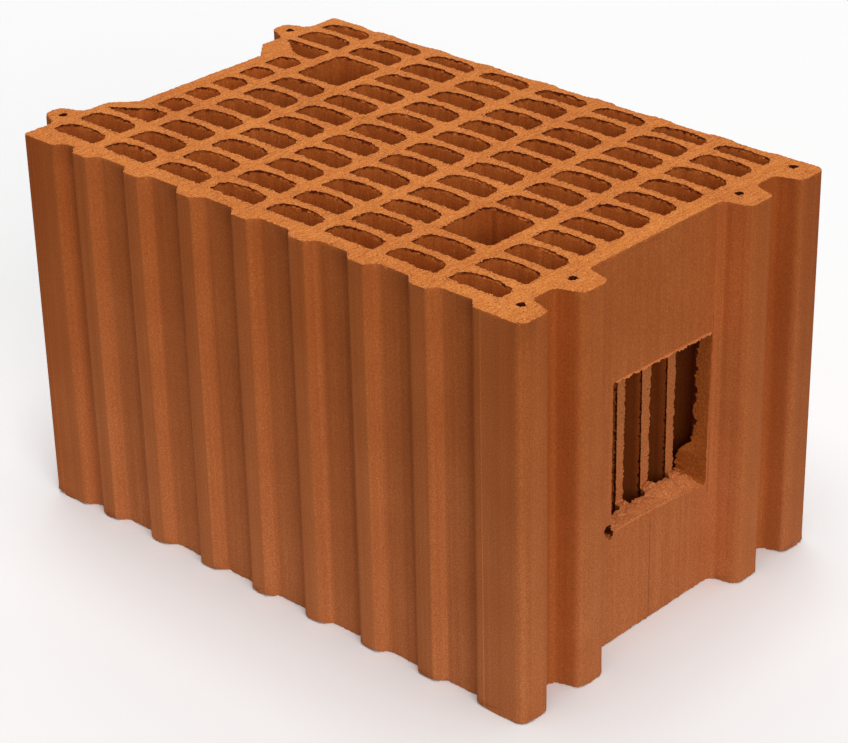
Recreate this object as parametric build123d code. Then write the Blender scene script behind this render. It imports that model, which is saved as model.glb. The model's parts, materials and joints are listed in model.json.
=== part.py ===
from build123d import *
import os

# Perforated tongue-and-groove clay block, extruded as one column and wire-cut to height.
# Millimetres. +Z is the direction of extrusion, +X the grooved end, -Y the wavy side.
# The origin is the middle of the box round the block, on its lower bed face.

# Overall sizes
LENGTH = 373.0  # between the two end planes, without the tongues
WIDTH = 250.0  # over the crests of both sides
HEIGHT = 233.0

# Perforation, columns counted from the tongue end and rows from the wavy side
COLUMNS = 8
ROWS = 11
FRONT_SHELL = 9.4  # valley of the wavy side to the first row of slots
BACK_SHELL = 4.9  # valley of the back to the last row of slots
TONGUE_END_SHELL = 6.0  # tongue end plane to the first column
GROOVE_END_SHELL = 11.5  # recess floor of the grooved end to the last column
COLUMN_WEB = 7.9
ROW_WEB = 4.85
FRONT_ROW_SHARE = 0.87  # height of the first row, as a share of a full row
BACK_ROW_SHARE = 0.71  # height of the last row, as a share of a full row
SLOT_CROWN = 2.7  # rise of a slot's arched edge
SLOT_ARCH_RADIUS = 5.0  # corners of the arched edge
SLOT_FOOT_CHAMFER = 1.2  # corners of the straight edge

# Grip holes, each in the place of two slots
GRIP_PLACES = ((1, 7), (6, 2))  # column and lower row, counted from 0
GRIP_RADIUS = 4.0

# Waves of the two sides, one valley to each column of slots, between two flat corner strips
TONGUE_STRIP_WIDTH = 25.4  # tongue end plane to the first valley
GROOVE_STRIP_WIDTH = 31.8  # last valley to the grooved end plane
NARROW_VALLEY_WIDTH = 16.9  # mouth of the first valley
CREST_WIDTH = 11.0
FRONT_WAVE_DEPTH = 6.0
FRONT_FLANK_WIDTH = 5.2
FRONT_WAVE_RADII = (2.0, 5.5, 3.5, 3.0)  # crest, both corners of the valley and crest again
BACK_WAVE_DEPTH = 1.5
BACK_FLANK_WIDTH = 6.2
BACK_WAVE_RADII = (6.0, 6.0, 6.0, 6.0)

# Interlocking ends, each with two joints set in from the sides by the same distance
JOINT_INSET = 33.8  # side to the middle of a groove and of a tongue
TONGUE_DEPTH = 15.0
TONGUE_ROOT_WIDTH = 24.0
TONGUE_TIP_WIDTH = 11.0
TONGUE_RADIUS = 5.0
TONGUE_CLEARANCE = 0.5  # tip of a tongue to the floor of its groove
GROOVE_MOUTH_WIDTH = 26.0
GROOVE_FLOOR_WIDTH = 17.0
GROOVE_RADIUS = 5.0
GROOVE_END_CORNER_RADIUS = 6.0
TONGUE_END_CORNER_RADIUS = 2.5

# Recess of the grooved end, between two ribs
GROOVE_RECESS_DEPTH = 17.0
RIB_TIP_WIDTH = 19.5
RIB_FLANK_WIDTH = 4.0
RIB_RADIUS = 5.5

# Recess of the tongue end, between two ramps
TONGUE_RECESS_DEPTH = 12.7
LAND_WIDTH = 16.5  # flat between a tongue and its ramp
RAMP_WIDTH = 14.0
RAMP_RADIUS = 2.5
SHORT_SLOT_SHELL = 10.2  # recess floor to the short slots behind it
SHORT_SLOT_RADIUS = 2.0  # corners of a short slot's arched edge
RAMP_ROWS = (2, 8)  # rows whose first slot follows a ramp, counted from 0
RAMP_SLOT_TIP = 2.6  # short edge of such a slot
RAMP_SLOT_RUN = 21.0  # how far along the slot its slanted edge reaches
RAMP_SLOT_TIP_RADIUS = 0.9
RAMP_SLOT_RADIUS = 2.0

# Pin holes that core the solid lumps of the ends
PIN_DIAMETER = 4.8
GROOVE_END_PIN_INSET = 15.6  # end plane to the pins of ribs and corners
FRONT_CORNER_PIN_INSET = 17.4
BACK_CORNER_PIN_INSET = 9.2
TONGUE_PIN_INSET = 10.2  # tip of a tongue to its pin

# Window cut through the recess floor of the grooved end
WINDOW_WIDTH = 81.7
WINDOW_HEIGHT = 92.5
WINDOW_SILL = 66.0  # bed face to the lower edge
WINDOW_SHIFT = 1.8  # from the middle row towards the back
WINDOW_DEPTH = 18.0
WINDOW_RADIUS = 2.0

# Places worked out from the sizes
groove_end = (LENGTH + TONGUE_DEPTH) / 2
tongue_end = groove_end - LENGTH
front = -WIDTH / 2
back = WIDTH / 2
joint_ys = (front + JOINT_INSET, back - JOINT_INSET)
groove_floor = groove_end - TONGUE_DEPTH - TONGUE_CLEARANCE
groove_recess_floor = groove_end - GROOVE_RECESS_DEPTH
tongue_recess_floor = tongue_end + TONGUE_RECESS_DEPTH

first_slot_x = tongue_end + TONGUE_END_SHELL
last_slot_x = groove_recess_floor - GROOVE_END_SHELL
slot_length = (last_slot_x - first_slot_x - (COLUMNS - 1) * COLUMN_WEB) / COLUMNS
column_pitch = slot_length + COLUMN_WEB
column_starts = [first_slot_x + column * column_pitch for column in range(COLUMNS)]

first_slot_y = front + FRONT_WAVE_DEPTH + FRONT_SHELL
last_slot_y = back - BACK_WAVE_DEPTH - BACK_SHELL
row_shares = [FRONT_ROW_SHARE] + [1] * (ROWS - 2) + [BACK_ROW_SHARE]
full_row = (last_slot_y - first_slot_y - (ROWS - 1) * ROW_WEB) / sum(row_shares)
row_heights = [share * full_row for share in row_shares]
row_starts = [first_slot_y + sum(row_heights[:row]) + row * ROW_WEB for row in range(ROWS)]
middle_row = ROWS // 2

first_valley_x = tongue_end + TONGUE_STRIP_WIDTH
first_crest_x = first_valley_x + NARROW_VALLEY_WIDTH
wave_pitch = (groove_end - GROOVE_STRIP_WIDTH - first_crest_x) / (COLUMNS - 1)


def wave(crest, valley, flank):
    """Corners of one side's waves, from the tongue end to the grooved end."""
    corners = []
    for column in range(COLUMNS):
        stop = first_crest_x + column * wave_pitch
        start = stop - wave_pitch + CREST_WIDTH if column else first_valley_x
        corners += [(start, crest), (start + flank, valley), (stop - flank, valley), (stop, crest)]
    return corners


def groove(middle):
    """Corners of a groove, from mouth to mouth towards +Y."""
    return [
        (groove_end, middle - GROOVE_MOUTH_WIDTH / 2),
        (groove_floor, middle - GROOVE_FLOOR_WIDTH / 2),
        (groove_floor, middle + GROOVE_FLOOR_WIDTH / 2),
        (groove_end, middle + GROOVE_MOUTH_WIDTH / 2),
    ]


def tongue(middle):
    """Corners of a tongue, from root to root towards -Y."""
    tip = tongue_end - TONGUE_DEPTH
    return [
        (tongue_end, middle + TONGUE_ROOT_WIDTH / 2),
        (tip, middle + TONGUE_TIP_WIDTH / 2),
        (tip, middle - TONGUE_TIP_WIDTH / 2),
        (tongue_end, middle - TONGUE_ROOT_WIDTH / 2),
    ]


def rib_flank(tip_y, towards_middle):
    """Tip edge and foot of a rib's flank in the recess of the grooved end."""
    return [(groove_end, tip_y), (groove_recess_floor, tip_y + towards_middle * RIB_FLANK_WIDTH)]


def ramp(top_y, towards_middle):
    """Top edge and foot of a ramp in the recess of the tongue end."""
    return [(tongue_end, top_y), (tongue_recess_floor, top_y + towards_middle * RAMP_WIDTH)]


def rounded_face(corners, radii):
    """A flat face whose corners are rounded, each by its own radius."""
    return make_face(FilletPolyline(*corners, radius=radii, close=True))


def outer_section():
    """The section without its holes, run round from the front corner of the tongue end."""
    front_rib_y = joint_ys[0] + GROOVE_MOUTH_WIDTH / 2 + RIB_TIP_WIDTH
    back_rib_y = joint_ys[1] - GROOVE_MOUTH_WIDTH / 2 - RIB_TIP_WIDTH
    front_ramp_y = joint_ys[0] + TONGUE_ROOT_WIDTH / 2 + LAND_WIDTH
    back_ramp_y = joint_ys[1] - TONGUE_ROOT_WIDTH / 2 - LAND_WIDTH
    runs = [
        ([(tongue_end, front)], [TONGUE_END_CORNER_RADIUS]),
        (wave(front, front + FRONT_WAVE_DEPTH, FRONT_FLANK_WIDTH), FRONT_WAVE_RADII),
        ([(groove_end, front)], [GROOVE_END_CORNER_RADIUS]),
        (groove(joint_ys[0]), [GROOVE_RADIUS]),
        (rib_flank(front_rib_y, 1), [RIB_RADIUS]),
        (rib_flank(back_rib_y, -1)[::-1], [RIB_RADIUS]),
        (groove(joint_ys[1]), [GROOVE_RADIUS]),
        ([(groove_end, back)], [GROOVE_END_CORNER_RADIUS]),
        (wave(back, back - BACK_WAVE_DEPTH, BACK_FLANK_WIDTH)[::-1], BACK_WAVE_RADII[::-1]),
        ([(tongue_end, back)], [TONGUE_END_CORNER_RADIUS]),
        (tongue(joint_ys[1]), [TONGUE_RADIUS]),
        (ramp(back_ramp_y, -1), [RAMP_RADIUS]),
        (ramp(front_ramp_y, 1)[::-1], [RAMP_RADIUS]),
        (tongue(joint_ys[0]), [TONGUE_RADIUS]),
    ]
    corners = [corner for run, radii in runs for corner in run]
    all_radii = [radii[place % len(radii)] for run, radii in runs for place in range(len(run))]
    return rounded_face(corners, all_radii)


def slot(x_start, row, length, arch_radius):
    """A slot with a straight foot on its -Y edge and an arch on its +Y edge."""
    y_start = row_starts[row]
    crown = y_start + row_heights[row]
    shoulder = crown - SLOT_CROWN
    x_stop = x_start + length
    arch = ThreePointArc((x_stop, shoulder), (x_start + length / 2, crown), (x_start, shoulder))
    foot = Polyline((x_start, shoulder), (x_start, y_start), (x_stop, y_start), (x_stop, shoulder))
    face = make_face([foot, arch])
    face = chamfer(face.vertices().group_by(Axis.Y)[0], SLOT_FOOT_CHAMFER)
    return fillet(face.vertices().group_by(Axis.Y)[-1], arch_radius)


def ramp_slot(row, towards_middle):
    """The first slot of a row beside a ramp, with the edge on the recess side slanted."""
    low = row_starts[row]
    high = low + row_heights[row]
    straight, slanted = (low, high) if towards_middle > 0 else (high, low)
    x_stop = first_slot_x + slot_length
    corners = [
        (first_slot_x, straight),
        (x_stop, straight),
        (x_stop, slanted),
        (first_slot_x + RAMP_SLOT_RUN, slanted),
        (first_slot_x, straight + towards_middle * RAMP_SLOT_TIP),
    ]
    radii = [RAMP_SLOT_TIP_RADIUS] + [RAMP_SLOT_RADIUS] * 3 + [RAMP_SLOT_TIP_RADIUS]
    return rounded_face(corners, radii)


def grip_hole(column, lower_row):
    """A hole for the fingers, as long as a slot and two rows high."""
    height = row_heights[lower_row] + ROW_WEB + row_heights[lower_row + 1]
    middle = Pos(column_starts[column] + slot_length / 2, row_starts[lower_row] + height / 2)
    return middle * RectangleRounded(slot_length, height, GRIP_RADIUS)


def perforation():
    """All slots and grip holes."""
    grip_slots = [(column, row + step) for column, row in GRIP_PLACES for step in (0, 1)]
    short_start = tongue_recess_floor + SHORT_SLOT_SHELL
    short_length = first_slot_x + slot_length - short_start
    holes = [grip_hole(column, row) for column, row in GRIP_PLACES]
    for row in range(ROWS):
        for column, start in enumerate(column_starts):
            if (column, row) in grip_slots:
                continue
            if column == 0 and row in RAMP_ROWS:
                holes.append(ramp_slot(row, 1 if row < middle_row else -1))
            elif column == 0 and RAMP_ROWS[0] < row < RAMP_ROWS[1]:
                holes.append(slot(short_start, row, short_length, SHORT_SLOT_RADIUS))
            else:
                holes.append(slot(start, row, slot_length, SLOT_ARCH_RADIUS))
    return holes


def pin_holes():
    """The small cores of tongues, ribs and the corners of the grooved end."""
    groove_pin_x = groove_end - GROOVE_END_PIN_INSET
    tongue_pin_x = tongue_end - TONGUE_DEPTH + TONGUE_PIN_INSET
    rib_offset = (GROOVE_MOUTH_WIDTH + RIB_TIP_WIDTH) / 2
    places = [
        (groove_pin_x, front + FRONT_CORNER_PIN_INSET),
        (groove_pin_x, joint_ys[0] + rib_offset),
        (groove_pin_x, joint_ys[1] - rib_offset),
        (groove_pin_x, back - BACK_CORNER_PIN_INSET),
        (tongue_pin_x, joint_ys[0]),
        (tongue_pin_x, joint_ys[1]),
    ]
    return [Pos(x, y) * Circle(PIN_DIAMETER / 2) for x, y in places]


def window():
    """The pocket through the recess floor, deep enough to open the last column of slots."""
    window_y = row_starts[middle_row] + row_heights[middle_row] / 2 + WINDOW_SHIFT
    window_z = WINDOW_SILL + WINDOW_HEIGHT / 2
    pocket_floor = groove_recess_floor - WINDOW_DEPTH
    profile = RectangleRounded(WINDOW_WIDTH, WINDOW_HEIGHT, WINDOW_RADIUS)
    facing_out = Plane(origin=(pocket_floor, window_y, window_z), x_dir=(0, 1, 0), z_dir=(1, 0, 0))
    return extrude(facing_out * profile, amount=groove_end - pocket_floor)


section = outer_section() - perforation() - pin_holes()
clay_block = extrude(section, amount=HEIGHT) - window()

os.makedirs("parts", exist_ok=True)
export_step(clay_block, "parts/clay_block.step")
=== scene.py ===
# Perforated clay block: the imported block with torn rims, a rough window and fired clay surfaces.
import json
import math

import bmesh
import bpy
from mathutils import Matrix, Vector, kdtree, noise


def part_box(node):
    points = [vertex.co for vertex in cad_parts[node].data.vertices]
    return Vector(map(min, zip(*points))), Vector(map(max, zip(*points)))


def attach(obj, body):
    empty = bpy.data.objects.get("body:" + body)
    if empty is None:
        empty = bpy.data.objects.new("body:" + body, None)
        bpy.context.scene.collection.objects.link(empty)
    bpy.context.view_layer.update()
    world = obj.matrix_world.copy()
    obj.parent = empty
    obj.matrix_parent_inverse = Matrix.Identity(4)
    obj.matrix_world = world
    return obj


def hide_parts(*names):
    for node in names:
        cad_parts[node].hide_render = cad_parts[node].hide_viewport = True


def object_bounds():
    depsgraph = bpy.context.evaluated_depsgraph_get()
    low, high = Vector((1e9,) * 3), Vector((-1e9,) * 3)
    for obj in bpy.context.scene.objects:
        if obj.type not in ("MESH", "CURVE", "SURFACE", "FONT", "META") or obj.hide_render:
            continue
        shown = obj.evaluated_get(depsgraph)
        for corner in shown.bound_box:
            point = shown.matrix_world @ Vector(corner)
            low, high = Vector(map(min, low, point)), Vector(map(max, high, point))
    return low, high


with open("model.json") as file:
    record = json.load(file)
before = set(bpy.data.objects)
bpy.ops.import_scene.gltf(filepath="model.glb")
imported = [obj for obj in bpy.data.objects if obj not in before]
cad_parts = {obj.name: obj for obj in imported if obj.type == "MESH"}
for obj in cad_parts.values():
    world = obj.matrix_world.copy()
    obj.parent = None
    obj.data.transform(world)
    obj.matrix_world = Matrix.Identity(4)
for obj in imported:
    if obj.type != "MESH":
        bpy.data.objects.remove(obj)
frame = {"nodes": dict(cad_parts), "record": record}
cad_low, cad_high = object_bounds()

MM = 0.001
NODE = "clay_block"
VISUAL_NAME = "fired_clay_block"
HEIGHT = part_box(NODE)[1].z
AXES = (Vector((1, 0, 0)), Vector((0, 1, 0)), Vector((0, 0, 1)))
X, Y, Z = range(3)

# Tolerances, in metres, as shares of a normal and as angles
SNAP = 0.00001
CUT_SNAP = 0.000001
UPRIGHT = 0.01
LEVEL = 0.9
BED_SLOPE = 0.6
FLAT_ANGLE = 0.0005
SMOOTH_ANGLE = math.radians(38)

# Bed faces, cut by a wire, which tears the rims of the holes
TOP_STEPS = {"slot": 0.8 * MM, "pin": 0.5 * MM, "outline": 0.8 * MM}
BOTTOM_STEPS = {"slot": 3.0 * MM, "pin": 1.5 * MM, "outline": 1.0 * MM}
TOP_SEED = 2.0
BOTTOM_SEED = 57.0
RIM_RING = 1.0 * MM
RIM_SHARE = 0.8
RING_DROP = 0.08
NOTCH_LEVEL = 0.7 * MM
TORN_LEVEL = 1.7 * MM
SMOOTH_LEVEL = 3.6 * MM
WEAR_LEVEL = 5.5 * MM
TOP_LEVELS = (NOTCH_LEVEL, TORN_LEVEL, SMOOTH_LEVEL)
BOTTOM_LEVELS = (WEAR_LEVEL,)
PIN_RIM_LENGTH = 25 * MM

# Lower corners of the outline, which are worn less at the grooved end
WEAR_REACH = 6.5 * MM
WEAR_MOST = 3.2 * MM
CORNER_WEAR = 1.5
END_WEAR = 0.4
END_START = 180.0 * MM
RING_WEAR = 0.5

# Window in the grooved end, from the opening that the record states
WINDOW_OPENING = "end_window"
OPENING_INSET = 0.8 * MM
OPENING_FLOOR_GAP = 0.4 * MM
RECESS_FLOOR = 177.0 * MM
SHELL_BACK = 165.5 * MM
WINDOW_STEP = 0.95 * MM
ZONE_MARGIN = Vector((3.5, 8.0, 9.0)) * MM
LIP_HEIGHT = 0.5 * MM
WEB_FADE = 3.5 * MM
WEB_SLOPE = 0.2

# Edges of the window's mouth: how far they stand off their lines, in millimetres, and where that ends
MOUTH_LEFT = -0.5
MOUTH_RIGHT = 2.3
MOUTH_TOP = 1.1
MOUTH_TOP_FALL = 2.1
MOUTH_FADE = 7.5 * MM

# Clay that leans in at the window's lower right corner, in millimetres, and where it ends
LEAN = Vector((-5.0, -6.3, 0))
LEAN_WIDTH = 7.5 * MM
LEAN_HEIGHT = (25 * MM, 12.5 * MM)
TEETH_HEIGHT = (12 * MM, 26 * MM)

# Smeared sill: heights in millimetres at its front and inner edge, and the places of its two humps
FRONT_RISE = 3.5
FRONT_FALL = 6.3
FALL_POWER = 2.2
INNER_RISE = 3.6
RIGHT_HUMP = 2.6
RIGHT_HUMP_PLACE = (23 * MM, 10 * MM)
LEFT_HUMP = 1.5
LEFT_HUMP_OFFSET = 3 * MM
LEFT_HUMP_HALF = 9 * MM

# Small torn pit beside the window's lower left corner
PIT_ASIDE = 1.8 * MM
PIT_RISE = 4.0 * MM
PIT_HALF_WIDTH = 3.2 * MM
PIT_HALF_HEIGHT = 4.0 * MM
PIT_DEPTH = 6.5 * MM
PIT_EDGE = 0.5 * MM
PIT_DARK = 3 * MM
PIT_SHADE = 1.0 * MM

# Surfaces, in the order of the block's material slots; the fifth is dark clay that paints shade in the pin
# holes, the pit and beside the webs' ends
BED, SIDE, SLOT, TORN, PAINTED_SHADE, JAMB, RIM = range(7)

# Limits of the surfaces in and round the window
TORN_REACH = 3.0 * MM
MOUTH_SKIN = 0.4 * MM
JAMB_WIDTH = 9 * MM
JAMB_SKIN = 1.5 * MM
JAMB_BEHIND = 6.5 * MM
WEBS_END = 12 * MM
TURNED = 0.3
WEB_SIDE_START = 0.1 * MM
WEB_END_START = -0.15 * MM
LEFT_SHADE = 8 * MM
LIP_OUT = 0.3 * MM
LIP_ZONE = 1.5 * MM

# Slots and waves of the front, each of which follows the last by one pitch
SLOT_START = -175.0 * MM
SLOT_PITCH = 43.3 * MM
CREST_START = -136.7 * MM
WAVE_PITCH = 42.7 * MM

# Lines that the die drew: the middle and half width of each, where it starts and is full, and its tint
LINE_Y = (-115 * MM, -120 * MM)
RIGHT_LINE_X = (167.0 * MM, 0.5 * MM)
RIGHT_LINE_TINT = (1.24, 1.3, 1.36, 1.0)
LEFT_LINE_X = (-172.5 * MM, 0.6 * MM)
LEFT_LINE_TINT = (1.12, 1.14, 1.16, 1.0)
SEAM_Y = (0.0, 0.4 * MM)
SEAM_X = (170 * MM, 175 * MM)
SEAM_Z = (64 * MM, 60 * MM)
SEAM_TINT = (0.75, 0.72, 0.70, 1.0)

# Tones of the sides, among them painted light from the floor towards the bottom, painted shade in the
# grooves and painted shadow under the burrs at the valleys' tops: where each starts and is full, and its
# tint
PAINTED_BOUNCE_Z = (200 * MM, 10 * MM)
PAINTED_BOUNCE_TINT = (1.13, 1.31, 1.85, 1.0)
END_X = (172 * MM, 176 * MM)
GROOVE_X = (193 * MM, 188 * MM)
GROOVE_NEAR = (60 * MM, 75 * MM)
GROOVE_FAR = (108 * MM, 103 * MM)
GROOVE_SHADE_TINT = (0.88, 0.78, 0.58, 1.0)
PILLAR_NEAR = (92 * MM, 112 * MM)
PILLAR_FAR = (124 * MM, 120 * MM)
PILLAR_TINT = (0.86, 0.84, 0.86, 1.0)
FRONT_Y = (-112 * MM, -117 * MM)
FAR_X = (-140 * MM, -178 * MM)
FAR_TINT = (0.86, 0.75, 0.59, 1.0)
VALLEY_START = (0.5, 0.82)
VALLEY_END = (0.96, 0.9)
VALLEY_TOP = (217 * MM, 230 * MM)
VALLEY_SHADOW_TINT = (0.74, 0.72, 0.70, 1.0)

# Tones of the slots' walls and of the jamb, among them painted shade at the slots' left ends and far inside,
# painted light at their right ends and a painted shadow under their rims: where each starts and is full, and
# its tint
UPPER_PART = (62 * MM, 45 * MM)
LEFT_PART = (0.32, 0.08)
SLOT_LEFT_SHADE_TINT = (0.85, 0.85, 0.87, 1.0)
RIGHT_PART = (0.46, 0.82)
SLOT_RIGHT_LIGHT_TINT = (1.2, 1.21, 1.13, 1.0)
DEEP_PART = (8 * MM, 60 * MM)
DEEP_SHADE_TINT = (0.55, 0.46, 0.36, 1.0)
TORN_SHADOW_BAND = (4.2 * MM, 3.4 * MM)
TORN_SHADOW_RAGGED = 4.5 * MM
TORN_SHADOW_LUMPS = 460.0
BREAKS_SCALE = 200.0
BREAKS = (0.36, 0.54)
BREAKS_LEAST = 0.25
TORN_SHADOW_TINT = (0.25, 0.115, 0.035, 1.0)
JAMB_LOW = 14 * MM
JAMB_HIGH = 27 * MM
JAMB_TINT = (0.71, 0.64, 0.53, 1.0)

# Fired clay
CLOUD_SCALE = 24.0
TONE_STOPS = (0.2, 0.5, 0.8)
PORE_EDGE = 0.05
PORE_TINT = (0.42, 0.33, 0.27, 1.0)
STREAK_RELIEF = 0.4
RELIEF_DEPTH = 0.4 * MM

# Stage: the floor's half size and greys, the world's light, and each lamp's direction, strength and angle
FLOOR_SIZE = 6.0
SHEET_EDGE = (0.30, 0.62)
NEAR_GREY = (0.36, 0.36, 0.36, 1)
FAR_GREY = (0.03, 0.03, 0.03, 1)
WHITE = (1.0, 1.0, 1.0, 1)
WORLD_LIGHT = 0.14
LAMPS = (
    ("overhead_softbox", (0.05, -0.05, 1.0), 1.75, 50),
    ("front_softbox", (0.79, -0.44, 0.42), 1.25, 35),
    ("back_fill", (-0.6, 0.6, 0.5), 0.7, 60),
)

# Camera, fitted to the photograph's corners and slots
CAMERA_EYE = Vector((0.92794, -0.96741, 0.79008))
CAMERA_FORWARD = Vector((-0.61053, 0.64371, -0.46139))
CAMERA_RIGHT = Vector((0.73238, 0.68061, -0.01957))
CAMERA_LENS = 110.89
SENSOR_WIDTH = 36.0


def clamp(value):
    """The value, held between 0 and 1."""
    return min(1.0, max(0.0, value))


def ease(low, high, value):
    """0 below low, 1 above high and a smooth run between them; low may be the larger one."""
    share = clamp((value - low) / (high - low))
    return share * share * (3 - 2 * share)


def hump(value, centre, half):
    """A rounded hump, 1 at its centre and 0 outside its half width."""
    return max(0.0, 1 - ((value - centre) / half) ** 2)


def near(value, place):
    """Whether two places along an axis are the same, apart from rounding."""
    return abs(value - place) < 2 * SNAP


def flat(place):
    """A place or direction in plan."""
    return Vector((place.x, place.y, 0))


def field(place, size, seed):
    """A smooth random number, mostly between -1 and 1, with lumps of the given size."""
    value = noise.fractal(place / size + Vector((seed, -0.37 * seed, 0.61 * seed)), 0.9, 2.2, 3)
    return min(1.6, max(-1.6, 2.2 * value))


def cut(bm, geometry, place, normal):
    """Divides faces along a plane and returns them with the pieces that they fell into."""
    made = bmesh.ops.bisect_plane(bm, geom=geometry, dist=CUT_SNAP, plane_co=place, plane_no=normal)
    return made["geom"]


def parts_of(faces):
    """Faces with their edges and corners, as the cuts take them."""
    edges = dict.fromkeys(edge for face in faces for edge in face.edges)
    verts = dict.fromkeys(vert for face in faces for vert in face.verts)
    return [*verts, *edges, *faces]


def outward(vert):
    """The level direction out of the clay at a corner of upright walls, longer where it mitres."""
    levels = [flat(face.normal) for face in vert.link_faces]
    levels = [level.normalized() for level in levels if level.length > 0.5]
    if not levels:
        return Vector()
    direction = sum(levels, Vector()).normalized()
    return direction / max(0.5, min(direction.dot(level) for level in levels))


def read_block():
    """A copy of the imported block, merged, with the triangles of its walls joined to long strips."""
    bm = bmesh.new()
    bm.from_mesh(frame["nodes"][NODE].data)
    bmesh.ops.remove_doubles(bm, verts=bm.verts, dist=SNAP)
    bm.normal_update()
    walls = [face for face in bm.faces if abs(face.normal.z) < UPRIGHT]
    bmesh.ops.join_triangles(
        bm, faces=walls, angle_face_threshold=FLAT_ANGLE, angle_shape_threshold=math.pi
    )
    return bm


def rim_edges(bm, height):
    """The open edges of a bed whose face is taken away."""
    return [
        edge
        for edge in bm.edges
        if edge.is_boundary and all(abs(vert.co.z - height) < SNAP for vert in edge.verts)
    ]


def rim_kinds(rim):
    """What each corner of a bed's rims runs round: the outline, a slot or a pin hole."""
    kinds = {}
    waiting = dict.fromkeys(rim)
    while waiting:
        loop = []
        line = [waiting.popitem()[0]]
        while line:
            edge = line.pop()
            loop.append(edge)
            for vert in edge.verts:
                for other in vert.link_edges:
                    if other in waiting:
                        del waiting[other]
                        line.append(other)
        length = sum(edge.calc_length() for edge in loop)
        corners = dict.fromkeys(vert for edge in loop for vert in edge.verts)
        span = max(vert.co.x for vert in corners) - min(vert.co.x for vert in corners)
        kind = "pin" if length < PIN_RIM_LENGTH else "slot"
        if span > (cad_high.x - cad_low.x) / 2:
            kind = "outline"
        kinds.update((vert, kind) for vert in corners)
    return kinds


def plan_of(kinds):
    """A tree of the rims' corners in plan, with the kind of each."""
    tree = kdtree.KDTree(len(kinds))
    names = []
    for vert, kind in kinds.items():
        tree.insert(flat(vert.co), len(names))
        names.append(kind)
    tree.balance()
    return tree, names


def rim_reach(place, kind, facing, seed):
    """How far torn clay hangs out over the hole at a rim; less than 0 where a crumb broke off."""
    jag = field(place, 1.2 * MM, seed)
    fine = field(place, 3.0 * MM, seed + 11)
    wide = field(place, 7.0 * MM, seed + 23)
    chip = max(0.0, field(place, 6.0 * MM, seed + 31) - 0.9)
    if kind == "outline":
        return (0.22 * jag + 0.17 * fine + 0.06 * wide - 0.12 - 0.9 * chip) * MM
    if kind == "pin":
        return (-0.1 + 0.35 * jag + 0.5 * fine + 0.2 * wide) * MM
    mean = 0.24 + 0.5 * facing.y + 0.37 * facing.x
    mean += 1.5 * abs(facing.x) * max(0.0, -facing.y)
    drag = 1 + 0.4 * max(0.0, facing.y)
    return (mean + drag * (0.26 * jag + 0.3 * fine) + 0.14 * wide - 1.2 * chip) * MM


def notch_reach(place, kind, facing, seed):
    """How far the torn band just under a rim stands back."""
    reach = rim_reach(place, kind, facing, seed)
    if kind == "outline":
        return 0.5 * reach
    jag = field(place, 1.1 * MM, seed + 43)
    wide = field(place, 5.0 * MM, seed + 47)
    return min(reach, 0.0) - max(0.05, 0.45 + 0.15 * jag + 0.3 * wide) * MM


def rim_drop(place, kind, inwards, seed):
    """How far a rim stands back from its bed's plane; the lower outline is chipped most."""
    drop = 0.10 * max(0.0, 1 + 0.8 * field(place, 1.8 * MM, seed + 7))
    if kind == "outline" and inwards > 0:
        drop += 0.25 * max(0.0, 0.6 + field(place, 1.5 * MM, seed + 61))
        drop += 0.7 * max(0.0, field(place, 4.5 * MM, seed + 67) - 0.35)
    return drop * MM


def corner_wear(place, direction, plan, names):
    """How far the lower outline is worn off, more where a corner stands out of the clay beside it."""
    found = plan.find_range(place, WEAR_REACH)
    around = [spot for spot, index, _ in found if names[index] == "outline"]
    centre = sum(around, Vector()) / len(around)
    share = CORNER_WEAR if place.x < END_START else END_WEAR
    return min(WEAR_MOST, max(0.0, share * (place - centre).dot(direction.normalized())))


def open_bed(bm, height, inwards, steps, levels):
    """Cuts the walls at their levels, takes one bed face away and divides the lines at its rims finely."""
    for level in levels:
        cut(bm, bm.verts[:] + bm.edges[:] + bm.faces[:], (0, 0, height + inwards * level), AXES[Z])
    bm.normal_update()
    caps = [
        face
        for face in bm.faces
        if face.normal.z * inwards < -LEVEL and abs(face.calc_center_median().z - height) < SNAP
    ]
    bmesh.ops.delete(bm, geom=caps, context="FACES")

    plan, names = plan_of(rim_kinds(rim_edges(bm, height)))
    lines = (height, height + inwards * NOTCH_LEVEL, height + inwards * TORN_LEVEL)
    groups = {}
    for edge in bm.edges:
        ends = [vert.co.z for vert in edge.verts]
        if any(max(abs(end - line) for end in ends) < SNAP for line in lines):
            step = steps[names[plan.find(flat(edge.verts[0].co))[1]]]
            groups.setdefault(int(edge.calc_length() / step), []).append(edge)
    for count in sorted(groups):
        if count:
            bmesh.ops.subdivide_edges(bm, edges=groups[count], cuts=count, use_grid_fill=True)
    bm.normal_update()


def close_bed(bm, rim, leading):
    """Closes a bed face inside a ring along its rims, and tells where each corner of the ring comes from."""
    made = bmesh.ops.extrude_edge_only(bm, edges=rim)["geom"]
    sources = {}
    for vert in [item for item in made if isinstance(item, bmesh.types.BMVert)]:
        others = [edge.other_vert(vert) for edge in vert.link_edges]
        sources[vert] = next(other for other in others if other in leading)
        vert.co -= leading[sources[vert]] * RIM_RING
    inner = [item for item in made if isinstance(item, bmesh.types.BMEdge) and item.is_boundary]
    bmesh.ops.triangle_fill(bm, use_beauty=True, use_dissolve=False, edges=inner, normal=AXES[Z])
    return sources


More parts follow.
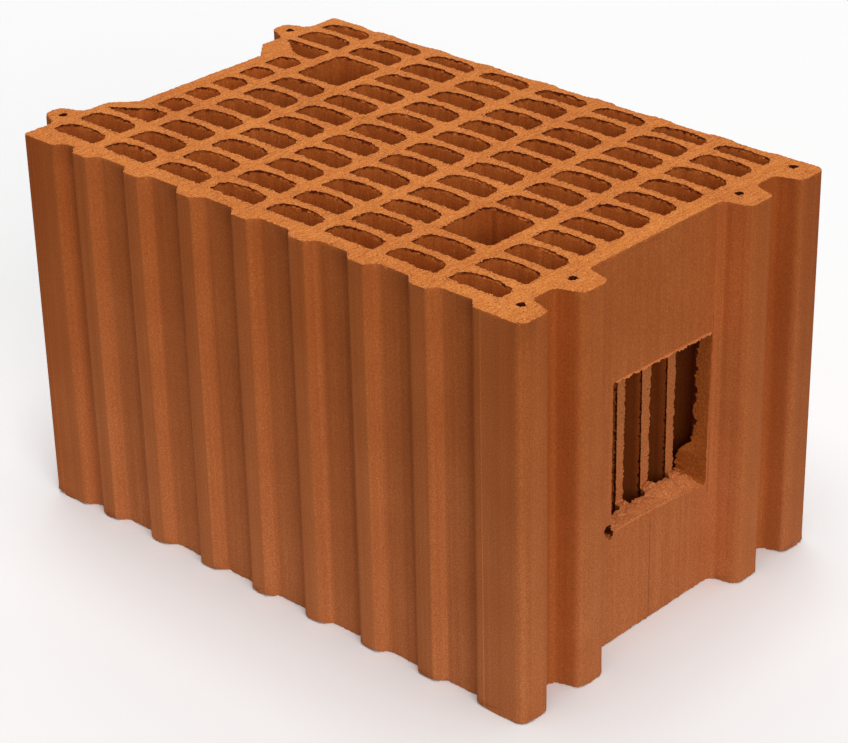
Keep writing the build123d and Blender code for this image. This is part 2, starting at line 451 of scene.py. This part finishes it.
def tear_bed(bm, height, inwards, steps, levels, seed):
    """Divides the rims of one bed face finely, roughens them and closes the face again."""
    open_bed(bm, height, inwards, steps, levels)
    notch_level = height + inwards * NOTCH_LEVEL
    torn_level = height + inwards * TORN_LEVEL
    rim = rim_edges(bm, height)
    kinds = rim_kinds(rim)
    leading = {vert: outward(vert) for vert in kinds}
    notched = {vert: outward(vert) for vert in bm.verts if abs(vert.co.z - notch_level) < SNAP}
    torn = {vert: outward(vert) for vert in bm.verts if abs(vert.co.z - torn_level) < SNAP}
    sources = close_bed(bm, rim, leading)

    plan, names = plan_of(kinds)
    wear = dict.fromkeys(kinds, 0.0)
    for vert, kind in kinds.items():
        if kind == "outline" and inwards > 0:
            wear[vert] = corner_wear(flat(vert.co), leading[vert], plan, names)
    for vert, source in sources.items():
        vert.co.z += inwards * RING_DROP * MM * (1 + 0.6 * field(vert.co, 2.4 * MM, seed + 5))
        vert.co.z += inwards * RING_WEAR * wear[source]
    for vert, direction in notched.items():
        place = flat(vert.co)
        kind = names[plan.find(place)[1]]
        vert.co += direction * notch_reach(place, kind, direction, seed)
        vert.co.z += inwards * 0.1 * MM * field(place, 1.4 * MM, seed + 53)
    for vert, direction in torn.items():
        vert.co += direction * (0.06 * MM * field(flat(vert.co), 1.6 * MM, seed + 59))
    for vert, kind in kinds.items():
        place = flat(vert.co)
        vert.co += leading[vert] * rim_reach(place, kind, leading[vert], seed)
        vert.co.z += inwards * (rim_drop(place, kind, inwards, seed) + wear[vert])
    return plan, names


class Window:
    """The window's sides, read from the opening that the record states."""

    def __init__(self):
        stated = frame["record"]["physics"]["openings"]
        low, high = next(o["box_m"] for o in stated if o["name"] == WINDOW_OPENING)
        self.floor = low[0] - OPENING_FLOOR_GAP
        self.left = low[1] - OPENING_INSET
        self.right = high[1] + OPENING_INSET
        self.sill = low[2] - OPENING_INSET
        self.top = high[2] + OPENING_INSET

    def holds(self, place, margin=SNAP):
        """Whether a place is in the pocket or on its walls."""
        return (
            self.floor - margin <= place.x <= RECESS_FLOOR + SNAP
            and self.left - margin <= place.y <= self.right + margin
            and self.sill - margin <= place.z <= self.top + margin
        )

    def share(self, place):
        """How far a place is from the left side to the right one, from 0 to 1."""
        return clamp((place.y - self.left) / (self.right - self.left))

    def level(self, place):
        """How far a place is from the sill to the top, which is 1."""
        return (place.z - self.sill) / (self.top - self.sill)


window = Window()


def wall_depth(place):
    """How far a place is into the wall round the window, 0 at its face and 1 at its back."""
    return (RECESS_FLOOR - place.x) / (RECESS_FLOOR - SHELL_BACK)


def divide_window(bm):
    """Cuts the pocket's walls and the clay round its mouth into a fine grid."""
    low = Vector((window.floor, window.left, window.sill)) - ZONE_MARGIN
    high = Vector((RECESS_FLOOR, window.right, window.top))
    high += Vector((MM, ZONE_MARGIN.y, ZONE_MARGIN.z))

    def meets(face):
        """Whether a face reaches into the zone."""
        places = [vert.co for vert in face.verts]
        return all(
            min(place[i] for place in places) < high[i] and max(place[i] for place in places) > low[i]
            for i in range(3)
        )

    def seen(face):
        """Whether a face of the zone is round the mouth, in the pocket or just behind the webs' ends."""
        centre = face.calc_center_median()
        if not all(low[i] < centre[i] < high[i] for i in range(3)):
            return False
        if near(centre.x, RECESS_FLOOR) or window.holds(centre):
            return True
        return window.holds(Vector((window.floor, centre.y, centre.z))) and centre.x < window.floor

    geometry = parts_of([face for face in bm.faces if meets(face)])
    for normal in AXES:
        for side in (low, high):
            geometry = cut(bm, geometry, side, normal)
    geometry = parts_of([face for face in bm.faces if seen(face)])
    geometry = cut(bm, geometry, (0, 0, window.top + LIP_HEIGHT), AXES[Z])
    for axis in (Z, Y, X):
        count = int((high[axis] - low[axis]) / WINDOW_STEP)
        for step in range(1, count):
            place = low + (high - low) * (step / count)
            geometry = cut(bm, geometry, place, AXES[axis])
    return [item for item in geometry if isinstance(item, bmesh.types.BMVert) and item.is_valid]


def torn_pit(place):
    """Depth of the small torn pit beside the window's lower corner."""
    across = (place.y - (window.left - PIT_ASIDE)) / PIT_HALF_WIDTH
    along = (place.z - (window.sill + PIT_RISE)) / PIT_HALF_HEIGHT
    away = math.hypot(across + 0.25 * along, along) + 0.16 * field(place, 2.0 * MM, 41)
    return PIT_DEPTH * ease(1.05, 0.75, away)


def mouth_shift(place):
    """How the mouth's edges stand off their straight lines, fading out over the clay round them."""
    share = window.share(place)
    level = clamp(window.level(place))
    aside = max(window.left - place.y, place.y - window.right, 0.0)
    apart = max(window.sill - place.z, place.z - window.top, 0.0)
    fade = max(0.0, 1 - max(aside, apart) / MOUTH_FADE)
    side = (1 - share) * MOUTH_LEFT + share * MOUTH_RIGHT * level
    top = (MOUTH_TOP - MOUTH_TOP_FALL * share) * max(0.0, 2 * level - 1)
    return Vector((0, side, top)) * (MM * fade)


def sill_rise(place):
    """How far the smeared sill stands above its cut, at its front edge and towards the inside."""
    spot = flat(place)
    front = FRONT_RISE - FRONT_FALL * window.share(place) ** FALL_POWER
    inner = INNER_RISE + RIGHT_HUMP * hump(place.y, *RIGHT_HUMP_PLACE)
    inner += LEFT_HUMP * hump(place.y, window.left + LEFT_HUMP_OFFSET, LEFT_HUMP_HALF)
    inner += 0.7 * field(spot, 5.0 * MM, 3) + 0.3 * field(spot, 1.6 * MM, 4)
    inwards = ease(0.05, 0.95, wall_depth(place))
    grit = 0.22 * field(spot, 1.8 * MM, 5)
    return (front * (1 - inwards) + inner * inwards + grit) * MM


def sill_shift(place):
    """The sill's rise, which the clay above and below follows, and clay that leans in from the right."""
    rise = sill_rise(place)
    away = abs(place.z - window.sill)
    shift = Vector((0, 0, rise * max(0.0, 1 - away / (4 * MM + 1.4 * abs(rise))) ** 2))
    if SHELL_BACK - SNAP < place.x and window.holds(place):
        depth = wall_depth(place)
        across = clamp(1 - (window.right - place.y) / LEAN_WIDTH)
        ragged = 1 + 0.1 * field(place, 2.5 * MM, 9) + 0.08 * field(place, 1.2 * MM, 10) * depth
        reach = across * depth * ease(*LEAN_HEIGHT, place.z - window.sill)
        shift += LEAN * (MM * reach * ragged)
    return shift


def jamb_shift(place):
    """How the broken inner edge of the right jamb stands back, in teeth."""
    depth = wall_depth(place)
    spot = Vector((0, 0, place.z))
    teeth = 2.0 + 0.9 * field(spot, 7.0 * MM, 25) + depth ** 3 * 0.8 * field(spot, 1.5 * MM, 26)
    return Vector((teeth * MM * depth * ease(*TEETH_HEIGHT, place.z - window.sill), 0, 0))


def strip_shift(place, side):
    """How the edges of a web's cut end are dragged and toothed, fading out behind it."""
    level = window.level(place)
    behind = max(0.0, 1 - (window.floor - place.x) / WEB_FADE)
    drag = 1.0 + 1.1 * level if side < 0 else 0.8 + 0.9 * level
    teeth = 0.5 * field(place, 1.1 * MM, 15) + 0.2 * field(place, 6.0 * MM, 16)
    return Vector((0.06 * field(place, 2.0 * MM, 13), drag + teeth, 0)) * (MM * behind)


def lip_shift(place):
    """The burr along the window's top edge, which stands out of the end face and hangs in crumbs."""
    over = place.z - window.top
    if not window.left - SNAP <= place.y <= window.right + SNAP or not -SNAP < over < LIP_HEIGHT:
        return Vector()
    out = ease(LIP_HEIGHT, 0.0, over) * (0.9 + 0.4 * field(place, 2.0 * MM, 27))
    hang = 0.3 + 0.5 * field(place, 1.4 * MM, 29) if over < SNAP else 0
    return Vector((out, 0, -hang)) * MM


def window_shift(place, normal):
    """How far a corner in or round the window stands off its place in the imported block."""
    held = window.holds(place)
    front = near(place.x, RECESS_FLOOR)
    in_wall = place.x > SHELL_BACK - SNAP
    shift = Vector()
    if held or front:
        shift += sill_shift(place)
        if in_wall:
            shift += mouth_shift(place)
    if held and in_wall and near(place.y, window.right):
        shift += jamb_shift(place)
    if place.x < window.floor + 2 * SNAP and abs(normal.y) > WEB_SLOPE:
        shift += strip_shift(place, normal.y)
    elif held and not front:
        shift += normal * (0.12 * MM * field(place, 1.8 * MM, 19))
        if near(place.x, SHELL_BACK) and near(place.z, window.sill):
            ragged = 1.0 + 0.7 * field(place, 5.0 * MM, 21) + 0.4 * field(place, 1.5 * MM, 22)
            shift.x -= ragged * MM
    if front:
        shift += lip_shift(place)
        if held and near(place.z, window.sill):
            shift.x -= (0.9 + 0.4 * field(place, 3.0 * MM, 31)) * MM
        if held and (near(place.y, window.left) or near(place.y, window.right)):
            shift.y += 0.2 * MM * field(place, 1.8 * MM, 33)
            shift.x += 0.12 * MM * field(place, 3.0 * MM, 35)
        if not held:
            shift.x -= torn_pit(place)
    return shift


def roughen_window(bm):
    """Tears the webs' cut ends, the sill and the window's sides, and raises a burr on its top edge."""
    starts = {vert: vert.co.copy() for vert in divide_window(bm)}
    bm.normal_update()
    for vert, place in starts.items():
        vert.co = place + window_shift(place, vert.normal)


def window_surface(face, centre):
    """Which surface a face in the window has: torn clay, the jamb, or the slots behind the webs' ends, with
    dark clay as painted shade on the webs' sides along the strips' edges and beside the left jamb.
    """
    turned = abs(face.normal.y) > TURNED and centre.y < window.right - WEBS_END
    if centre.x < window.floor + (WEB_SIDE_START if turned else WEB_END_START):
        # Painted shade: dark clay on the webs' sides along the strips' edges and beside the left jamb
        edge = centre.x > window.floor - (1.5 + 0.7 * field(centre, 2.0 * MM, 71)) * MM
        shaded = face.normal.y < 0 and (edge or centre.y < window.left + LEFT_SHADE)
        return PAINTED_SHADE if shaded else SLOT
    beside = centre.y > window.right - JAMB_WIDTH and centre.x > SHELL_BACK - JAMB_BEHIND
    inner = centre.y > window.right - JAMB_SKIN or face.normal.y < -TURNED
    return JAMB if beside and inner else TORN


def surface_of(face, plan, names):
    """Which of the block's surfaces a face has."""
    centre = face.calc_center_median()
    _, index, away = plan.find(flat(centre))
    kind = names[index]
    in_wall = centre.x > SHELL_BACK + MM
    pit = torn_pit(Vector((RECESS_FLOOR, centre.y, centre.z))) if in_wall else 0
    if window.holds(centre, TORN_REACH) and centre.x < RECESS_FLOOR - MOUTH_SKIN and not pit:
        return window_surface(face, centre)
    if pit > PIT_EDGE and centre.x < RECESS_FLOOR + SNAP:
        # Painted shade: dark clay on the deep half of the pit that lies in shade
        shaded = centre.z - window.sill > window.left - centre.y + PIT_SHADE
        return PAINTED_SHADE if pit > PIT_DARK and shaded else JAMB
    if abs(face.normal.z) > BED_SLOPE and min(centre.z, HEIGHT - centre.z) < 0.5 * NOTCH_LEVEL:
        return RIM if away < RIM_SHARE * RIM_RING else BED
    lip = centre.x > RECESS_FLOOR + LIP_OUT and abs(centre.z - window.top) < LIP_ZONE
    if lip and kind == "outline" and window.left < centre.y < window.right:
        return TORN
    # Pin holes' walls get dark clay: painted shade inside the holes
    return {"outline": SIDE, "pin": PAINTED_SHADE, "slot": SLOT}[kind]


def add_mesh(bm, name):
    """An object of the scene with the mesh, which is freed."""
    mesh = bpy.data.meshes.new(name)
    bm.to_mesh(mesh)
    bm.free()
    made = bpy.data.objects.new(name, mesh)
    bpy.context.scene.collection.objects.link(made)
    return made


def build_block():
    """The whole block as one mesh."""
    bm = read_block()
    plan, names = tear_bed(bm, HEIGHT, -1, TOP_STEPS, TOP_LEVELS, TOP_SEED)
    tear_bed(bm, 0.0, 1, BOTTOM_STEPS, BOTTOM_LEVELS, BOTTOM_SEED)
    roughen_window(bm)
    bmesh.ops.recalc_face_normals(bm, faces=bm.faces)
    bm.normal_update()
    for face in bm.faces:
        face.smooth = True
        face.material_index = surface_of(face, plan, names)
    for edge in bm.edges:
        edge.smooth = len(edge.link_faces) == 2 and edge.calc_face_angle() < SMOOTH_ANGLE
    return add_mesh(bm, VISUAL_NAME)


def srgb(red, green, blue):
    """A colour in screen levels from 0 to 255, as the shader counts it."""

    def level(value):
        share = value / 255
        return share / 12.92 if share <= 0.04045 else ((share + 0.055) / 1.055) ** 2.4

    return (level(red), level(green), level(blue), 1.0)


def add(tree, kind, inputs=None, **settings):
    """A shader node with its settings made and its inputs set or linked."""
    made = tree.nodes.new("ShaderNode" + kind)
    for key, value in settings.items():
        setattr(made, key, value)
    for key, value in (inputs or {}).items():
        if isinstance(value, bpy.types.NodeSocket):
            tree.links.new(value, made.inputs[key])
        else:
            made.inputs[key].default_value = value
    return made


def noise_at(tree, vector, scale, detail, roughness):
    """Noise from 0 to 1 at a place."""
    inputs = {"Vector": vector, "Scale": scale, "Detail": detail, "Roughness": roughness}
    return add(tree, "TexNoise", inputs).outputs["Fac"]


def scaled(tree, place, scale):
    """A place, scaled along each axis."""
    return add(tree, "Mapping", {"Vector": place, "Scale": scale}).outputs["Vector"]


def math_node(tree, operation, *values):
    """The result of a sum in the shader."""
    inputs = dict(enumerate(values))
    return add(tree, "Math", inputs, operation=operation).outputs[0]


def product(tree, first, *others):
    """Several masks multiplied."""
    for other in others:
        first = math_node(tree, "MULTIPLY", first, other)
    return first


def rising(tree, value, low, high, least=0.0):
    """The least, or 0, below low, and 1 above high; low may be the larger one."""
    inputs = {"Value": value, "From Min": low, "From Max": high, "To Min": least}
    return add(tree, "MapRange", inputs).outputs[0]


def band(tree, value, centre, half):
    """1 within half a width of the centre, fading to 0 just beyond."""
    away = math_node(tree, "ABSOLUTE", math_node(tree, "SUBTRACT", value, centre))
    return rising(tree, away, 1.2 * half, 0.8 * half)


def phase(tree, value, start, pitch):
    """How far a place is through its pitch, from 0 to 1."""
    passed = math_node(tree, "SUBTRACT", value, start)
    return math_node(tree, "FRACT", math_node(tree, "DIVIDE", passed, pitch))


def ramp(tree, factor, stops):
    """A run of colours."""
    made = add(tree, "ValToRGB", {"Fac": factor})
    elements = made.color_ramp.elements
    while len(elements) < len(stops):
        elements.new(1.0)
    for element, (position, colour) in zip(elements, stops):
        element.position = position
        element.color = colour
    return made.outputs["Color"]


def mix(tree, mask, first, second, blend="MIX"):
    """The first colour where the mask is 0, blended with the second where it is 1."""
    made = add(tree, "Mix", {0: mask, 6: first, 7: second}, data_type="RGBA", blend_type=blend)
    return made.outputs[2]


def tint(tree, colour, mask, other):
    """Multiplies a colour by another one where the mask is 1."""
    return mix(tree, mask, colour, other, "MULTIPLY")


def axes_of(tree, place):
    """A place's X, Y and Z."""
    return add(tree, "SeparateXYZ", {0: place}).outputs


def drawn_lines(tree, place, colour):
    """Lines that the die drew: two light ones on the wavy side's flats and a dark one under the window."""
    axes = axes_of(tree, place)
    front = rising(tree, axes["Y"], *LINE_Y)
    right_line = product(tree, band(tree, axes["X"], *RIGHT_LINE_X), front)
    colour = tint(tree, colour, right_line, RIGHT_LINE_TINT)
    left_line = product(tree, band(tree, axes["X"], *LEFT_LINE_X), front)
    colour = tint(tree, colour, left_line, LEFT_LINE_TINT)
    under = product(tree, rising(tree, axes["X"], *SEAM_X), rising(tree, axes["Z"], *SEAM_Z))
    seam = product(tree, band(tree, axes["Y"], *SEAM_Y), under)
    return tint(tree, colour, seam, SEAM_TINT)


def side_marks_and_painted_light(tree, place, colour):
    """Painted light from the floor towards the bottom, painted shade in the grooves, deeper tones at the far
    edges and on the pillar's end, painted shadow at the valleys' tops, and lines.
    """
    axes = axes_of(tree, place)
    # Painted light: bounce and reflection from the white floor, paler towards the bottom
    colour = tint(tree, colour, rising(tree, axes["Z"], *PAINTED_BOUNCE_Z), PAINTED_BOUNCE_TINT)
    ended = rising(tree, axes["X"], *END_X)
    aside = math_node(tree, "ABSOLUTE", axes["Y"])
    # Painted shade in the end face's grooves
    groove_shade = product(
        tree,
        ended,
        rising(tree, axes["X"], *GROOVE_X),
        rising(tree, aside, *GROOVE_NEAR),
        rising(tree, aside, *GROOVE_FAR),
    )
    colour = tint(tree, colour, groove_shade, GROOVE_SHADE_TINT)
    pillar = product(
        tree, ended, rising(tree, axes["Y"], *PILLAR_NEAR), rising(tree, axes["Y"], *PILLAR_FAR)
    )
    colour = tint(tree, colour, pillar, PILLAR_TINT)
    front = rising(tree, axes["Y"], *FRONT_Y)
    far = product(tree, front, rising(tree, axes["X"], *FAR_X))
    colour = tint(tree, colour, far, FAR_TINT)
    # Painted shadow under the burr, at the top of each valley's right part
    along = phase(tree, axes["X"], CREST_START, WAVE_PITCH)
    valley_shadow = product(
        tree,
        rising(tree, along, *VALLEY_START),
        rising(tree, along, *VALLEY_END),
        rising(tree, axes["Z"], *VALLEY_TOP),
        front,
    )
    colour = tint(tree, colour, valley_shadow, VALLEY_SHADOW_TINT)
    return drawn_lines(tree, place, colour)


def slot_painted_light_and_shade(tree, place, colour):
    """Painted shade at each slot's left end and painted light at its right end, painted shade far inside,
    and a dark ragged band just under the rims, painted shadow under the burrs on torn clay.
    """
    axes = axes_of(tree, place)
    from_top = math_node(tree, "SUBTRACT", HEIGHT, axes["Z"])
    depth = math_node(tree, "MINIMUM", axes["Z"], from_top)
    along = phase(tree, axes["X"], SLOT_START, SLOT_PITCH)
    upper = rising(tree, depth, *UPPER_PART)
    # Painted shade towards each slot's left end and painted light towards its right end, in the upper part
    colour = tint(tree, colour, product(tree, upper, rising(tree, along, *LEFT_PART)), SLOT_LEFT_SHADE_TINT)
    colour = tint(tree, colour, product(tree, upper, rising(tree, along, *RIGHT_PART)), SLOT_RIGHT_LIGHT_TINT)
    # Painted shade far inside the slots
    colour = tint(tree, colour, rising(tree, depth, *DEEP_PART), DEEP_SHADE_TINT)
    # Painted shadow under the burrs, on the torn clay just under the rims, in a ragged, broken band
    lumps = noise_at(tree, place, TORN_SHADOW_LUMPS, 2.0, 0.55)
    ragged = math_node(tree, "MULTIPLY_ADD", lumps, TORN_SHADOW_RAGGED, depth)
    torn = rising(tree, ragged, *TORN_SHADOW_BAND)
    breaks = noise_at(tree, place, BREAKS_SCALE, 1.0, 0.5)
    broken = rising(tree, breaks, *BREAKS, least=BREAKS_LEAST)
    return tint(tree, colour, product(tree, torn, broken), TORN_SHADOW_TINT)


def jamb_darkening(tree, place, colour):
    """Darker towards the jamb's lower end, where it leans in."""
    height = axes_of(tree, place)["Z"]
    low = rising(tree, height, window.sill + JAMB_HIGH, window.sill + JAMB_LOW)
    return tint(tree, colour, low, JAMB_TINT)


def clay(
    name, tones, cloud, grain, grain_scale, streak, streak_scale, pores, pore_scale, bump, roughness,
    tones_and_painted_light=None, gloss=0.2,
):
    """Fired clay: tones mixed by clouds, grain and streaks, with dark pores and a fine relief."""
    material = bpy.data.materials.new(name)
    material.use_nodes = True
    tree = material.node_tree
    shader = tree.nodes["Principled BSDF"]
    place = add(tree, "TexCoord").outputs["Object"]
    clouds = noise_at(tree, place, CLOUD_SCALE, 4.0, 0.55)
    grains = noise_at(tree, place, grain_scale, 2.0, 0.65)
    streaks = noise_at(tree, scaled(tree, place, streak_scale), 1.0, 4.0, 0.65)
    mixed = 0.5 - 0.5 * (cloud + grain + streak)
    for pattern, share in ((clouds, cloud), (grains, grain), (streaks, streak)):
        mixed = math_node(tree, "MULTIPLY_ADD", pattern, share, mixed)
    colour = ramp(tree, mixed, tuple(zip(TONE_STOPS, tones)))
    dots = noise_at(tree, scaled(tree, place, pore_scale), 1.0, 1.0, 0.5)
    pitted = rising(tree, dots, pores, pores + PORE_EDGE)
    colour = tint(tree, colour, pitted, PORE_TINT)
    # Tones that the surface's own function adds, with painted light and shade on the sides and in the slots
    if tones_and_painted_light:
        colour = tones_and_painted_light(tree, place, colour)
    relief = math_node(tree, "MULTIPLY_ADD", streaks, STREAK_RELIEF, grains)
    relief = math_node(tree, "SUBTRACT", relief, pitted)
    bumped = add(tree, "Bump", {"Strength": bump, "Distance": RELIEF_DEPTH, "Height": relief})
    tree.links.new(colour, shader.inputs["Base Color"])
    tree.links.new(bumped.outputs["Normal"], shader.inputs["Normal"])
    shader.inputs["Roughness"].default_value = roughness
    shader.inputs["Specular IOR Level"].default_value = gloss
    return material


def clay_materials():
    """The block's surfaces: wire-cut bed, drawn side, slot wall, torn window clay, dark clay for painted
    shade in pin holes, the pit and beside the webs' ends, jamb and rims.
    """
    bed = clay(
        "wire_cut_bed",
        (srgb(152, 74, 25), srgb(207, 118, 50), srgb(238, 154, 78)),
        cloud=0.3, grain=1.15, grain_scale=1350, streak=0.65, streak_scale=(1100, 140, 140),
        pores=0.69, pore_scale=(1100, 420, 500), bump=0.5, roughness=0.92,
    )
    side = clay(
        "drawn_side",
        (srgb(166, 83, 36), srgb(197, 105, 48), srgb(224, 133, 70)),
        cloud=0.25, grain=0.8, grain_scale=1200, streak=0.35, streak_scale=(330, 330, 3),
        pores=0.8, pore_scale=(860, 860, 500), bump=0.2, roughness=0.9, tones_and_painted_light=side_marks_and_painted_light,
    )
    slot = clay(
        "slot_wall",
        (srgb(162, 79, 25), srgb(203, 105, 39), srgb(230, 139, 65)),
        cloud=0.35, grain=0.9, grain_scale=1200, streak=0.5, streak_scale=(300, 300, 5),
        pores=0.78, pore_scale=(860, 860, 860), bump=0.25, roughness=0.9, tones_and_painted_light=slot_painted_light_and_shade,
    )
    torn = clay(
        "torn_window_clay",
        (srgb(168, 88, 42), srgb(211, 122, 66), srgb(236, 158, 100)),
        cloud=0.2, grain=1.2, grain_scale=1100, streak=0.0, streak_scale=(200, 200, 200),
        pores=0.72, pore_scale=(860, 860, 860), bump=0.5, roughness=0.92,
    )
    # Dark clay for painted shade in the pin holes, the pit and on the webs' sides
    shade_clay = clay(
        "torn_pit",
        (srgb(40, 15, 4), srgb(72, 29, 8), srgb(128, 62, 24)),
        cloud=0.2, grain=0.9, grain_scale=1000, streak=0.0, streak_scale=(200, 200, 200),
        pores=0.72, pore_scale=(860, 860, 860), bump=0.4, roughness=0.95, gloss=0.02,
    )
    jamb = clay(
        "broken_jamb",
        (srgb(152, 76, 26), srgb(188, 101, 37), srgb(214, 130, 58)),
        cloud=0.2, grain=1.2, grain_scale=1100, streak=0.3, streak_scale=(120, 120, 500),
        pores=0.76, pore_scale=(860, 860, 860), bump=0.4, roughness=0.92, tones_and_painted_light=jamb_darkening,
    )
    rim = clay(
        "torn_rim",
        (srgb(132, 60, 18), srgb(207, 118, 52), srgb(244, 164, 92)),
        cloud=0.2, grain=1.3, grain_scale=1300, streak=0.0, streak_scale=(200, 200, 200),
        pores=0.6, pore_scale=(900, 900, 900), bump=0.5, roughness=0.92,
    )
    return bed, side, slot, torn, shade_clay, jamb, rim


def background(tree):
    """1 for rays that show the background to the camera, straight on, mirrored or through glass."""
    path = add(tree, "LightPath")
    seen = math_node(tree, "MAXIMUM", path.outputs["Is Camera Ray"], path.outputs["Is Glossy Ray"])
    return math_node(tree, "MAXIMUM", seen, path.outputs["Is Transmission Ray"])


def floor_material():
    """A floor that is white to the camera and gives grey light back to the block, less further out."""
    material = bpy.data.materials.new("pale_floor")
    material.use_nodes = True
    tree = material.node_tree
    shader = tree.nodes["Principled BSDF"]
    place = add(tree, "TexCoord").outputs["Object"]
    away = add(tree, "VectorMath", {0: place}, operation="LENGTH").outputs["Value"]
    sheet = mix(tree, rising(tree, away, *SHEET_EDGE), NEAR_GREY, FAR_GREY)
    colour = mix(tree, background(tree), sheet, WHITE)
    tree.links.new(colour, shader.inputs["Base Color"])
    shader.inputs["Roughness"].default_value = 1.0
    shader.inputs["Specular IOR Level"].default_value = 0.0
    return material


def set_stage():
    """A pale floor, a pale world and soft lamps."""
    bm = bmesh.new()
    bmesh.ops.create_grid(bm, x_segments=1, y_segments=1, size=FLOOR_SIZE)
    floor = add_mesh(bm, "floor")
    floor.data.materials.append(floor_material())

    world = bpy.data.worlds.new("studio")
    bpy.context.scene.world = world
    world.use_nodes = True
    tree = world.node_tree
    sky = tree.nodes["Background"]
    strength = rising(tree, background(tree), 0.0, 1.0, least=WORLD_LIGHT)
    tree.links.new(strength, sky.inputs["Strength"])
    sky.inputs["Color"].default_value = WHITE

    for name, towards, strength, angle in LAMPS:
        lamp = bpy.data.lights.new(name, "SUN")
        lamp.energy = strength
        lamp.angle = math.radians(angle)
        holder = bpy.data.objects.new(name, lamp)
        holder.rotation_mode = "QUATERNION"
        holder.rotation_quaternion = Vector(towards).to_track_quat("Z", "Y")
        bpy.context.scene.collection.objects.link(holder)


def set_camera():
    """The photograph's point of view."""
    data = bpy.data.cameras.new("camera")
    data.lens = CAMERA_LENS
    data.sensor_width = SENSOR_WIDTH
    camera = bpy.data.objects.new("camera", data)
    forward = CAMERA_FORWARD.normalized()
    right = (CAMERA_RIGHT - forward * CAMERA_RIGHT.dot(forward)).normalized()
    up = right.cross(forward)
    turned = Matrix((right, up, -forward)).transposed().to_4x4()
    camera.matrix_world = Matrix.Translation(CAMERA_EYE) @ turned
    bpy.context.scene.collection.objects.link(camera)
    bpy.context.scene.camera = camera


block = build_block()
for surface in clay_materials():
    block.data.materials.append(surface)
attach(block, "root")
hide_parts(NODE)
set_stage()
set_camera()
bpy.context.scene.view_settings.view_transform = "Standard"

print("triangles", sum(len(face.vertices) - 2 for face in block.data.polygons))
